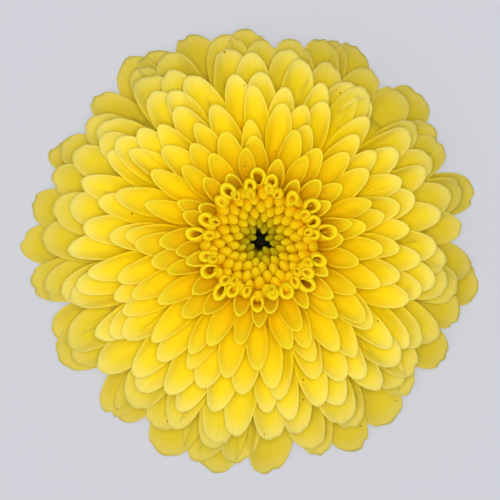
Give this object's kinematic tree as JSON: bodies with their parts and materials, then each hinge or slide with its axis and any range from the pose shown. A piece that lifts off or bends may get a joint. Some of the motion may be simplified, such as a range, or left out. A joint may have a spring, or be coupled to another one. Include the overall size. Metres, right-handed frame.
{
  "type": "pompon chrysanthemum bloom",
  "caption": "Yellow pompon chrysanthemum bloom as picked: a dome of layered cupped petals round a tight centre of young florets, over a green calyx and a short stem stub.",
  "frame": {"origin": "on the surface that the bloom rests on, under the middle of the head, at the foot of the stem stub", "axes": "+Z up out of the face of the bloom, +X to the right and +Y up as the picture shows the face"},
  "size_m": [0.0934, 0.0907, 0.0326],
  "materials": {
    "petals": "soft satin petal, golden inside and paler at the rim",
    "centre_florets": "soft satin, greener towards the middle",
    "calyx": "matt green bract",
    "stem": "matt green stem with a paler cut end"
  },
  "bodies": {
    "root": {"petals": "petals", "centre_florets": "centre_florets", "calyx": "calyx", "stem": "stem"}
  },
  "joints": []
}
